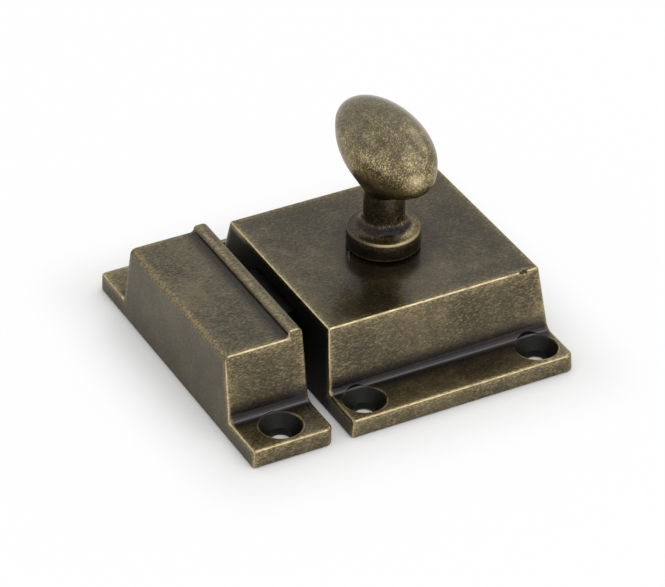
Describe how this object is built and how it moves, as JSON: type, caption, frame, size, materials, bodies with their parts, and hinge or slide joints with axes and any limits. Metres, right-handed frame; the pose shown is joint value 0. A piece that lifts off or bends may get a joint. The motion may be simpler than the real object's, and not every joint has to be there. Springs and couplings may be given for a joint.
{
  "type": "cupboard turn latch",
  "caption": "Surface cupboard latch: a flanged case with an egg-shaped turn knob that draws back a sprung bolt, and a separate flanged keeper with a raised strike bead.",
  "frame": {"origin": "on the knob's axis, in the mounting plane, at the centre of the case's four screw holes", "axes": "+Z out of the door along the knob's axis, +X from the keeper towards the case, +Y along both plates"},
  "size_m": [0.0525, 0.05, 0.0353],
  "materials": {
    "aged_brass": "dark antique patina, mottled, worn bright along its edges",
    "plain_brass": "machined, lightly tarnished",
    "plated_steel": "dull zinc plating",
    "spring_steel": "oiled wire"
  },
  "bodies": {
    "plates": {"latch_case": "aged_brass", "keeper": "aged_brass", "cover_plate": "plated_steel", "cover_screws": "plated_steel", "bolt_spring": "spring_steel"},
    "turn_knob": {"knob": "aged_brass", "thrust_washer": "plain_brass", "crank": "plated_steel", "crank_pin": "plated_steel", "lock_washer": "spring_steel", "crank_screw": "plated_steel"},
    "sliding_bolt": {"bolt": "plain_brass"}
  },
  "joints": [
    {"name": "knob_turn", "type": "hinge", "parent": "plates", "child": "turn_knob", "pos_m": [0, 0, 0.01], "axis": [0, 0, -1], "range_deg": [0, 50]},
    {"name": "bolt_slide", "type": "slide", "parent": "plates", "child": "sliding_bolt", "axis": [1, 0, 0], "range_m": [0, 0.00634], "stiffness_N_per_m": 250, "springref_m": -0.006, "deforming": ["bolt_spring"]}
  ],
  "couplings": [
    {"joint": "knob_turn", "follows": "bolt_slide", "rad_per_m": 137.66}
  ]
}
